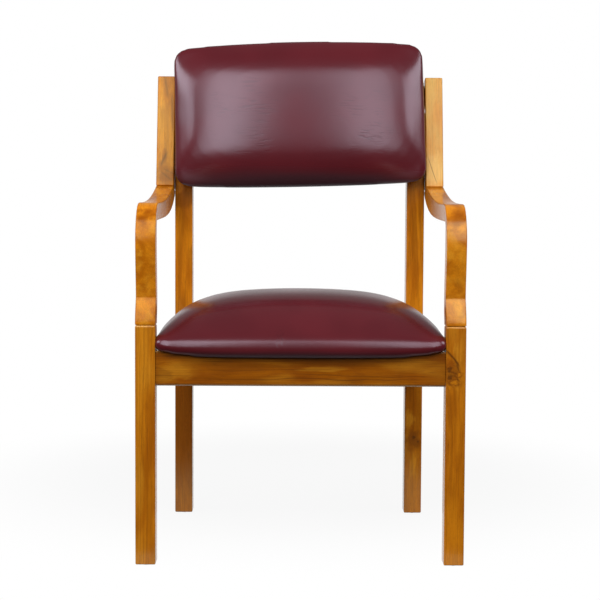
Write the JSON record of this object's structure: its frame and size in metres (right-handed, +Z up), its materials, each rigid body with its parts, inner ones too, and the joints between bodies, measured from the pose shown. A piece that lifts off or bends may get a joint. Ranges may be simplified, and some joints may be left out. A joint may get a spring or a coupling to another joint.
{
  "type": "wooden armchair",
  "caption": "Wooden armchair with a crowned leatherette seat, a raked padded back on posts, S-shaped arms over straight front legs, and rear legs lapped inside the posts.",
  "frame": {"origin": "on the floor under the middle of the overall box", "axes": "the chair faces -Y, +X is the viewer's right when looking at its front, +Z is up"},
  "size_m": [0.57, 0.5017, 0.949],
  "materials": {
    "teak": "honey-coloured teak under gloss lacquer",
    "pale_wood": "bare sawn softwood",
    "dowel_wood": "bare turned hardwood",
    "plywood": "bare plywood",
    "foam": "open-cell upholstery foam",
    "leatherette": "maroon leatherette with a satin gloss",
    "zinc_plated_steel": "zinc-plated",
    "dark_plastic": "moulded"
  },
  "bodies": {
    "root": {"front_leg_left": "teak", "front_leg_right": "teak", "rear_leg_left": "teak", "rear_leg_right": "teak", "arm_left": "teak", "arm_right": "teak", "back_post_left": "teak", "back_post_right": "teak", "front_rail": "teak", "rear_rail": "teak", "side_rail_left": "teak", "side_rail_right": "teak", "back_rail": "teak", "corner_block_front_left": "pale_wood", "corner_block_front_right": "pale_wood", "corner_block_rear_left": "pale_wood", "corner_block_rear_right": "pale_wood", "seat_board": "plywood", "back_board": "plywood", "seat_foam": "foam", "back_foam": "foam", "seat_cover": "leatherette", "back_cover": "leatherette", "back_rear_panel": "leatherette", "arm_dowel_left_inner": "dowel_wood", "arm_dowel_left_outer": "dowel_wood", "arm_dowel_right_inner": "dowel_wood", "arm_dowel_right_outer": "dowel_wood", "post_dowel_left_inner": "dowel_wood", "post_dowel_left_outer": "dowel_wood", "post_dowel_right_inner": "dowel_wood", "post_dowel_right_outer": "dowel_wood", "lap_bolt_left_upper": "zinc_plated_steel", "lap_bolt_left_lower": "zinc_plated_steel", "lap_bolt_right_upper": "zinc_plated_steel", "lap_bolt_right_lower": "zinc_plated_steel", "seat_screw_front_left": "zinc_plated_steel", "seat_screw_front_right": "zinc_plated_steel", "seat_screw_rear_left": "zinc_plated_steel", "seat_screw_rear_right": "zinc_plated_steel", "back_screw_leg_left": "zinc_plated_steel", "back_screw_leg_right": "zinc_plated_steel", "back_screw_rail_left": "zinc_plated_steel", "back_screw_rail_right": "zinc_plated_steel", "glide_front_left": "dark_plastic", "glide_front_right": "dark_plastic", "glide_rear_left": "dark_plastic", "glide_rear_right": "dark_plastic"}
  },
  "joints": []
}
